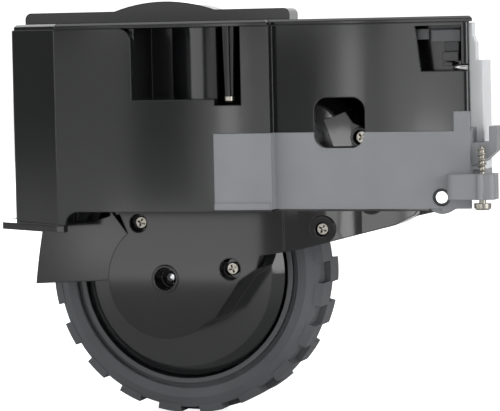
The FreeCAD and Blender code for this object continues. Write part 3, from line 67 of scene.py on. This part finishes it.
# Camera, in the row frame
CAMERA_YAW_DEG = 16.5
CAMERA_PITCH_DEG = 3.8
CAMERA_ROLL_DEG = 1.2
CAMERA_DISTANCE = 0.7
CAMERA_TARGET = Vector((-63.206, 15.0, -8.724)) * MM
FOCAL_PIXELS = 2758.0
PHOTO_WIDTH = 500.0
SENSOR_MM = 36.0
CLIP_NEAR = 0.05
CLIP_FAR = 20.0

# Captive screw. The thread's section has a crest and flanks, as shares of the pitch from its middle.
THREAD_PITCH = 1.35 * MM
THREAD_OUTER_R = 1.1 * MM
THREAD_CORE_R = 0.72 * MM
THREAD_LOW = 0.3 * MM
THREAD_HIGH = 6.9 * MM
THREAD_CREST = 0.06
THREAD_FLANK = 0.26
THREAD_FADE_IN = 0.6 * THREAD_PITCH
THREAD_FADE_OUT = 1.1 * THREAD_PITCH
THREAD_SIDES = 36
THREAD_ROWS_PER_TURN = 14
TIP_TAPER = 1.2 * MM
TIP_SHARE = 0.25
NECK_R = 0.85 * MM
NECK_STEP = 0.1 * MM
HEAD_TOP = -7.2 * MM
HEAD_CUT_ABOVE = 0.02 * MM

# Torsion spring, on the pivot line
PIVOT = Vector((-10.2, 0.0, -5.8)) * MM
SPRING_WIRE_R = 0.66 * MM
SPRING_MEAN_R = 2.9 * MM
SPRING_Y0 = 4.72 * MM
SPRING_TURNS = 5.25
SPRING_PITCH = 1.4 * MM
SPRING_Y1 = SPRING_Y0 + SPRING_PITCH * SPRING_TURNS
SPRING_LEG_TOP = 24.4 * MM
SPRING_HOOK_MM = (
    (-3.7, 2.15, 25.6),
    (-5.0, 2.25, 25.7),
    (-6.2, 2.7, 25.75),
    (-6.9, 3.4, 25.5),
    (-7.2, 4.2, 25.0),
)
SPRING_ARM_LEG = 9.6 * MM
SPRING_STEPS_PER_TURN = 28
SPRING_LEG_STEPS = 8
SPRING_ARM_LEG_STEPS = 4
SPRING_WIRE_BEVEL = 4

# Angles over which faces meet at a sharp edge
SMOOTH_DEG = 32.0
THREAD_SMOOTH_DEG = 50.0
WIRE_SMOOTH_DEG = 60.0

# Materials: rounding that the light shows on moulded edges, noise scales in object space (per
# metre), depth of the fine relief, and how far roughness and colour stray from their middle
EDGE_MM = 0.4
EDGE_SAMPLES = 6
RAMP_LOW = 0.35
RAMP_HIGH = 0.65
PLASTIC_CLOUDS = 60.0
PLASTIC_ROUGHNESS = (0.88, 1.12)
PLASTIC_RELIEF = 0.5
PLASTIC_SPECULAR = 0.5
COVER_SPECULAR = 0.38
METAL_CLOUDS = 90.0
METAL_LINES = 1400.0
METAL_ROUGHNESS = (0.75, 1.25)
METAL_LINE_MM = 0.01
METAL_RELIEF = 0.4
METAL_SPREAD = 0.1
ZINC_SPREAD = 0.14
DRAWN = (1.0, 0.06, 1.0)
TURNED = (1.0, 1.0, 0.08)
RUBBER_CLOUDS = 45.0
RUBBER_GRAIN = 2600.0
RUBBER_COLOUR = (0.88, 1.14)
RUBBER_ROUGHNESS = (0.62, 0.78)
RUBBER_GRAIN_MM = 0.03
RUBBER_RELIEF = 0.6
RUBBER_SPECULAR = 0.35

# Studio
WHITE = (1.0, 1.0, 1.0, 1.0)
WORLD_LIGHT = 0.17
WORLD_SEEN = 1.0
PAPER_COLOUR = (0.86, 0.86, 0.86, 1.0)
PAPER_ROUGHNESS = 0.9
PAPER_REACH = 6.0
FLOOR_GAP = 0.3 * MM
FLOOR_SEEN = 0.85
BACKDROP_Y = 3.0
BACKDROP_SEEN = 1.0

# Light cards close in front, which the glossy walls mirror as soft bands. For each: how far in
# front, its span in X and in Z, and how bright it is.
WALL_Y = -0.45
COVER_Y = -0.365
CARDS = (
    ("far", WALL_Y, -0.40, -0.258, -0.06, 0.037, 0.8),
    ("dim", WALL_Y, -0.256, -0.199, -0.04, 0.037, 0.06),
    ("mid", WALL_Y, -0.197, -0.174, -0.04, 0.037, 0.9),
    ("bright", WALL_Y, -0.172, -0.150, -0.04, 0.037, 5.0),
    ("gap", WALL_Y, -0.148, -0.124, -0.04, 0.037, 0.8),
    ("near", WALL_Y, -0.122, -0.03, -0.04, 0.12, 2.1),
    ("ridge", WALL_Y, -0.31, -0.150, 0.039, 0.10, 1.6),
    ("cover", COVER_Y, -0.25, -0.165, -0.063, -0.037, 2.3),
    ("streak", COVER_Y, -0.058, -0.044, -0.060, -0.030, 7.0),
    ("foot", COVER_Y, -0.085, -0.060, -0.060, -0.030, 4.0),
    ("tongue", COVER_Y, -0.080, -0.045, -0.020, -0.004, 5.0),
)

# Lamps round the object, all aimed at its middle. For each: place, width, height and power.
LAMPS = (
    ("key", (0.62, -0.7, 0.55), 1.0, 1.0, 5.4),
    ("top", (-0.1, -0.05, 0.9), 0.9, 0.6, 3.6),
    ("right", (0.78, -0.3, 0.12), 0.5, 0.5, 4.0),
    ("left", (-1.1, -0.6, 0.3), 0.7, 0.9, 4.0),
    ("rear", (-0.75, 0.95, 0.45), 0.9, 0.9, 4.0),
)


def srgb(red, green, blue):
    """Linear colour of an 8-bit screen colour."""
    values = []
    for level in (red, green, blue):
        part = level / 255.0
        values.append(part / 12.92 if part <= 0.04045 else ((part + 0.055) / 1.055) ** 2.4)
    return tuple(values) + (1.0,)


def shade(colour, factor):
    return tuple(level * factor for level in colour[:3]) + (1.0,)


class Shader:
    """A material under construction: a Principled shader with object-space noise."""

    def __init__(self, name):
        self.material = bpy.data.materials.new(name)
        self.material.use_nodes = True
        self.tree = self.material.node_tree
        self.nodes = self.tree.nodes
        self.shader = self.nodes["Principled BSDF"]
        self.place = self.nodes.new("ShaderNodeTexCoord").outputs["Object"]

    def link(self, source, target):
        self.tree.links.new(source, target)

    def noise(self, scale, detail, stretch=None):
        place = self.place
        if stretch:
            mapping = self.nodes.new("ShaderNodeMapping")
            mapping.inputs["Scale"].default_value = stretch
            self.link(place, mapping.inputs["Vector"])
            place = mapping.outputs["Vector"]
        node = self.nodes.new("ShaderNodeTexNoise")
        node.inputs["Scale"].default_value = scale
        node.inputs["Detail"].default_value = detail
        self.link(place, node.inputs["Vector"])
        return node.outputs["Fac"]

    def colour(self, low, high, driver):
        ramp = self.nodes.new("ShaderNodeValToRGB")
        ramp.color_ramp.elements[0].position = RAMP_LOW
        ramp.color_ramp.elements[0].color = low
        ramp.color_ramp.elements[1].position = RAMP_HIGH
        ramp.color_ramp.elements[1].color = high
        self.link(driver, ramp.inputs["Fac"])
        self.link(ramp.outputs["Color"], self.shader.inputs["Base Color"])

    def roughness(self, low, high, driver):
        span = self.nodes.new("ShaderNodeMapRange")
        span.inputs["To Min"].default_value = low
        span.inputs["To Max"].default_value = high
        self.link(driver, span.inputs["Value"])
        self.link(span.outputs["Result"], self.shader.inputs["Roughness"])

    def bump(self, driver, depth_mm, strength, rounded=False):
        node = self.nodes.new("ShaderNodeBump")
        if rounded:
            edge = self.nodes.new("ShaderNodeBevel")
            edge.samples = EDGE_SAMPLES
            edge.inputs["Radius"].default_value = EDGE_MM * MM
            self.link(edge.outputs["Normal"], node.inputs["Normal"])
        node.inputs["Distance"].default_value = depth_mm * MM
        node.inputs["Strength"].default_value = strength
        self.link(driver, node.inputs["Height"])
        self.link(node.outputs["Normal"], self.shader.inputs["Normal"])


def plastic(name, colour, rough, grain_mm, depth_mm, spread, specular=PLASTIC_SPECULAR):
    """Moulded plastic: its roughness, the size and depth of its grain, how far its colour strays."""
    made = Shader(name)
    broad = made.noise(PLASTIC_CLOUDS, 2.0)
    fine = made.noise(1.0 / (grain_mm * MM), 4.0)
    made.colour(shade(colour, 1.0 - spread), shade(colour, 1.0 + spread), broad)
    made.roughness(rough * PLASTIC_ROUGHNESS[0], rough * PLASTIC_ROUGHNESS[1], fine)
    made.bump(fine, depth_mm, PLASTIC_RELIEF, rounded=True)
    made.shader.inputs["Specular IOR Level"].default_value = specular
    return made.material


def metal(name, colour, rough, stretch, spread=METAL_SPREAD):
    """Bare metal: its roughness, the way its lines run, how far its colour strays."""
    made = Shader(name)
    broad = made.noise(METAL_CLOUDS, 3.0)
    lines = made.noise(METAL_LINES, 2.0, stretch)
    made.colour(shade(colour, 1.0 - spread), shade(colour, 1.0 + spread), broad)
    made.roughness(rough * METAL_ROUGHNESS[0], rough * METAL_ROUGHNESS[1], lines)
    made.bump(lines, METAL_LINE_MM, METAL_RELIEF)
    made.shader.inputs["Metallic"].default_value = 1.0
    return made.material


def rubber(name, colour):
    made = Shader(name)
    broad = made.noise(RUBBER_CLOUDS, 4.0)
    fine = made.noise(RUBBER_GRAIN, 3.0)
    made.colour(shade(colour, RUBBER_COLOUR[0]), shade(colour, RUBBER_COLOUR[1]), broad)
    made.roughness(RUBBER_ROUGHNESS[0], RUBBER_ROUGHNESS[1], broad)
    made.bump(fine, RUBBER_GRAIN_MM, RUBBER_RELIEF)
    made.shader.inputs["Specular IOR Level"].default_value = RUBBER_SPECULAR
    return made.material


def materials():
    return {
        "case_black": plastic("case_black", srgb(22, 23, 24), 0.125, 0.8, 0.0008, 0.06),
        "cover_black": plastic("cover_black", srgb(17, 17, 18), 0.05, 0.9, 0.0004, 0.05, COVER_SPECULAR),
        "bracket_grey": plastic("bracket_grey", srgb(122, 124, 127), 0.42, 0.3, 0.012, 0.05),
        "white_nylon": plastic("white_nylon", srgb(205, 207, 209), 0.45, 0.4, 0.008, 0.03),
        "steel": metal("steel", srgb(225, 226, 228), 0.22, TURNED),
        "zinc_steel": metal("zinc_steel", srgb(160, 156, 148), 0.3, TURNED, ZINC_SPREAD),
        "spring_steel": metal("spring_steel", srgb(190, 190, 190), 0.3, DRAWN),
        "motor_steel": metal("motor_steel", srgb(205, 206, 208), 0.34, DRAWN),
        "brass": metal("brass", srgb(214, 176, 96), 0.28, TURNED),
        "gear_white": plastic("gear_white", srgb(220, 218, 208), 0.4, 0.5, 0.006, 0.03),
        # switch_black is the dark grey of the switch parts. It also colours the switch lever, which is
        # really white nylon, so the lever looks as if it were in shade: painted shade.
        "switch_black": plastic("switch_black", srgb(70, 71, 73), 0.4, 0.3, 0.01, 0.08),
        "rim_grey": plastic("rim_grey", srgb(66, 67, 69), 0.35, 0.3, 0.01, 0.06),
        "tyre_rubber": rubber("tyre_rubber", srgb(81, 82, 85)),
        "cap_black": plastic("cap_black", srgb(48, 49, 51), 0.38, 0.3, 0.01, 0.06),
    }


def smooth(mesh, degrees=SMOOTH_DEG):
    for polygon in mesh.polygons:
        polygon.use_smooth = True
    mesh.set_sharp_from_angle(angle=math.radians(degrees))


def dress_nodes(frame, palette):
    slots = {part["node"]: part["material_slot"] for part in frame["record"]["subparts"]}
    for name, piece in frame["nodes"].items():
        piece.data.materials.clear()
        piece.data.materials.append(palette[slots[name]])
        smooth(piece.data)


def new_object(name, mesh, material):
    piece = bpy.data.objects.new(name, mesh)
    bpy.context.scene.collection.objects.link(piece)
    mesh.materials.clear()
    mesh.materials.append(material)
    return piece


def thread_radius(share):
    """Thread section over one pitch: a narrow crest, straight flanks and a flat root."""
    offset = abs(share - 0.5)
    if offset <= THREAD_CREST:
        return THREAD_OUTER_R
    if offset >= THREAD_FLANK:
        return THREAD_CORE_R
    down = (offset - THREAD_CREST) / (THREAD_FLANK - THREAD_CREST)
    return THREAD_OUTER_R + (THREAD_CORE_R - THREAD_OUTER_R) * down


def thread_row(height):
    """One row round the thread, which fades in at the neck and out at the tapered tip."""
    fade_in = min(1.0, (height - THREAD_LOW) / THREAD_FADE_IN)
    fade_out = min(1.0, (THREAD_HIGH - height) / THREAD_FADE_OUT)
    taper = min(1.0, TIP_SHARE + (THREAD_HIGH - height) / TIP_TAPER)
    ring = []
    for side in range(THREAD_SIDES):
        share = ((height - THREAD_LOW) / THREAD_PITCH - side / THREAD_SIDES) % 1.0
        lift = (thread_radius(share) - THREAD_CORE_R) * fade_in * fade_out
        ring.append(((THREAD_CORE_R + lift) * taper, height))
    return ring


def shank_rows():
    """Rows of radius and height from the head up to the tip."""
    neck = ((HEAD_TOP, NECK_R), (-NECK_STEP, NECK_R), (0.0, THREAD_CORE_R), (THREAD_LOW, THREAD_CORE_R))
    rows = [[(radius, height)] * THREAD_SIDES for height, radius in neck]
    span = THREAD_HIGH - THREAD_LOW
    count = int(span / THREAD_PITCH * THREAD_ROWS_PER_TURN)
    for row in range(1, count + 1):
        rows.append(thread_row(THREAD_LOW + span * row / count))
    return rows


def cut_to_head(body):
    """Leaves the solid's head and closes it where its plain shank was."""
    everything = body.verts[:] + body.edges[:] + body.faces[:]
    cut = bmesh.ops.bisect_plane(body, geom=everything, plane_co=(0, 0, HEAD_TOP + HEAD_CUT_ABOVE),
                                 plane_no=(0, 0, 1), clear_outer=True)
    rim = [edge for edge in cut["geom_cut"] if isinstance(edge, bmesh.types.BMEdge)]
    bmesh.ops.contextual_create(body, geom=rim)


def captive_screw_mesh(node):
    """The solid's head with a threaded shank in place of the plain one."""
    body = bmesh.new()
    body.from_mesh(node.data)
    cut_to_head(body)
    made = []
    for ring in shank_rows():
        verts = []
        for side, (radius, height) in enumerate(ring):
            turn = 2 * math.pi * side / THREAD_SIDES
            verts.append(body.verts.new((radius * math.cos(turn), radius * math.sin(turn), height)))
        made.append(verts)
    for low, high in zip(made, made[1:]):
        for side in range(THREAD_SIDES):
            after = (side + 1) % THREAD_SIDES
            body.faces.new((low[side], low[after], high[after], high[side]))
    body.faces.new(reversed(made[0]))
    body.faces.new(made[-1])
    mesh = bpy.data.meshes.new("captive_screw_threaded")
    body.to_mesh(mesh)
    body.free()
    return mesh


def add_captive_screw(frame, palette):
    mesh = captive_screw_mesh(frame["nodes"]["captive_screw"])
    piece = new_object("captive_screw_threaded", mesh, palette["zinc_steel"])
    smooth(mesh, THREAD_SMOOTH_DEG)
    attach(piece, "housing")
    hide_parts("captive_screw")


def spring_points():
    """The wire's centre line: hook, fixed leg, coils, leg in the arm."""
    leg_x = PIVOT.x + SPRING_MEAN_R
    points = [tuple(Vector(place) * MM) for place in SPRING_HOOK_MM]
    for part in range(SPRING_LEG_STEPS):
        height = SPRING_LEG_TOP + (PIVOT.z - SPRING_LEG_TOP) * part / SPRING_LEG_STEPS
        points.append((leg_x, SPRING_Y0, height))
    steps = int(SPRING_TURNS * SPRING_STEPS_PER_TURN)
    for step in range(steps + 1):
        turn = SPRING_TURNS * step / steps
        angle = -2 * math.pi * turn
        x = PIVOT.x + SPRING_MEAN_R * math.cos(angle)
        z = PIVOT.z + SPRING_MEAN_R * math.sin(angle)
        points.append((x, SPRING_Y0 + SPRING_PITCH * turn, z))
    for part in range(1, SPRING_ARM_LEG_STEPS + 1):
        x = PIVOT.x - SPRING_ARM_LEG * part / SPRING_ARM_LEG_STEPS
        points.append((x, SPRING_Y1, PIVOT.z + SPRING_MEAN_R))
    return points


def spring_mesh():
    curve = bpy.data.curves.new("torsion_spring_wire", "CURVE")
    curve.dimensions = "3D"
    curve.bevel_depth = SPRING_WIRE_R
    curve.bevel_resolution = SPRING_WIRE_BEVEL
    curve.use_fill_caps = True
    spline = curve.splines.new("POLY")
    points = spring_points()
    spline.points.add(len(points) - 1)
    for point, place in zip(spline.points, points):
        point.co = place + (1.0,)
    temporary = bpy.data.objects.new("wire_line", curve)
    bpy.context.scene.collection.objects.link(temporary)
    mesh = bpy.data.meshes.new_from_object(temporary)
    bpy.data.objects.remove(temporary)
    return mesh


def add_spring(palette):
    mesh = spring_mesh()
    piece = new_object("torsion_spring_wire", mesh, palette["spring_steel"])
    smooth(mesh, WIRE_SMOOTH_DEG)
    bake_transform(piece)
    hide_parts("torsion_spring")


# Studio

def camera_axes():
    """The camera's forward, right and up directions."""
    yaw = math.radians(CAMERA_YAW_DEG)
    pitch = math.radians(CAMERA_PITCH_DEG)
    roll = math.radians(CAMERA_ROLL_DEG)
    level = math.cos(pitch)
    forward = Vector((-math.sin(yaw) * level, math.cos(yaw) * level, -math.sin(pitch)))
    right = Vector((math.cos(yaw), math.sin(yaw), 0.0))
    up = right.cross(forward)
    turned_right = right * math.cos(roll) - up * math.sin(roll)
    turned_up = up * math.cos(roll) + right * math.sin(roll)
    return forward, turned_right, turned_up


def add_camera():
    forward, right, up = camera_axes()
    data = bpy.data.cameras.new("camera")
    data.sensor_width = SENSOR_MM
    data.lens = FOCAL_PIXELS / PHOTO_WIDTH * SENSOR_MM
    data.clip_start = CLIP_NEAR
    data.clip_end = CLIP_FAR
    camera = bpy.data.objects.new("camera", data)
    bpy.context.scene.collection.objects.link(camera)
    place = CAMERA_TARGET - forward * CAMERA_DISTANCE
    matrix = camera.matrix_world.copy()
    for row in range(3):
        matrix[row][0] = right[row]
        matrix[row][1] = up[row]
        matrix[row][2] = -forward[row]
        matrix[row][3] = place[row]
    camera.matrix_world = matrix
    bpy.context.scene.camera = camera


def add_light(name, place, target, width, height, power):
    data = bpy.data.lights.new(name, "AREA")
    data.shape = "RECTANGLE"
    data.size = width
    data.size_y = height
    data.energy = power
    light = bpy.data.objects.new(name, data)
    bpy.context.scene.collection.objects.link(light)
    light.location = place
    aim = Vector(target) - Vector(place)
    light.rotation_euler = aim.to_track_quat("-Z", "Y").to_euler()


def seen_directly(nodes, links, mirrored=False):
    """A factor of 1 for rays from the camera or through glass, and if mirrored for reflected ones."""
    paths = nodes.new("ShaderNodeLightPath")
    factor = paths.outputs["Is Camera Ray"]
    kinds = ("Is Glossy Ray", "Is Transmission Ray") if mirrored else ("Is Transmission Ray",)
    for kind in kinds:
        either = nodes.new("ShaderNodeMath")
        either.operation = "MAXIMUM"
        links.new(factor, either.inputs[0])
        links.new(paths.outputs[kind], either.inputs[1])
        factor = either.outputs[0]
    return factor


def add_world():
    world = bpy.data.worlds.new("studio")
    bpy.context.scene.world = world
    world.use_nodes = True
    nodes = world.node_tree.nodes
    links = world.node_tree.links
    background = nodes["Background"]
    background.inputs["Color"].default_value = WHITE
    strength = nodes.new("ShaderNodeMapRange")
    strength.inputs["To Min"].default_value = WORLD_LIGHT
    strength.inputs["To Max"].default_value = WORLD_SEEN
    links.new(seen_directly(nodes, links), strength.inputs["Value"])
    links.new(strength.outputs["Result"], background.inputs["Strength"])


def white_paper(name, glow, mirrored):
    """Pale paper that takes shadows and glows for camera rays, and if mirrored for reflected ones."""
    material = bpy.data.materials.new(name)
    material.use_nodes = True
    nodes = material.node_tree.nodes
    links = material.node_tree.links
    shader = nodes["Principled BSDF"]
    shader.inputs["Base Color"].default_value = PAPER_COLOUR
    shader.inputs["Roughness"].default_value = PAPER_ROUGHNESS
    shader.inputs["Specular IOR Level"].default_value = 0.0
    shader.inputs["Emission Color"].default_value = WHITE
    level = nodes.new("ShaderNodeMapRange")
    level.inputs["To Min"].default_value = 0.0
    level.inputs["To Max"].default_value = glow
    links.new(seen_directly(nodes, links, mirrored), level.inputs["Value"])
    links.new(level.outputs["Result"], shader.inputs["Emission Strength"])
    return material


def add_sheet(name, corners, glow, mirrored):
    mesh = bpy.data.meshes.new(name)
    mesh.from_pydata(corners, [], [(0, 1, 2, 3)])
    new_object(name, mesh, white_paper(name + "_paper", glow, mirrored))


def add_paper():
    """A floor just under the tyre and an upright sheet behind. Only the upright one is mirrored."""
    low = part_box("tyre")[0][2] - FLOOR_GAP
    far = PAPER_REACH
    back = BACKDROP_Y
    floor = [(-far, -far, low), (far, -far, low), (far, far, low), (-far, far, low)]
    add_sheet("floor", floor, FLOOR_SEEN, False)
    backdrop = [(-far, back, low), (far, back, low), (far, back, far), (-far, back, far)]
    add_sheet("backdrop", backdrop, BACKDROP_SEEN, True)


def add_cards():
    """Cards before the object, facing along Y, that its glossy walls mirror as soft bands."""
    for name, depth, left, right, low, high, level in CARDS:
        width = right - left
        height = high - low
        place = ((left + right) / 2, depth, (low + high) / 2)
        power = level * math.pi * width * height
        add_light("card_" + name, place, (place[0], 0.0, place[2]), width, height, power)


def add_lamps():
    for name, place, width, height, power in LAMPS:
        add_light(name, place, CAMERA_TARGET, width, height, power)


def main():
    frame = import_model()
    palette = materials()
    dress_nodes(frame, palette)
    add_captive_screw(frame, palette)
    add_spring(palette)
    add_world()
    add_paper()
    add_cards()
    add_lamps()
    add_camera()
    bpy.context.scene.view_settings.view_transform = "Standard"


main()
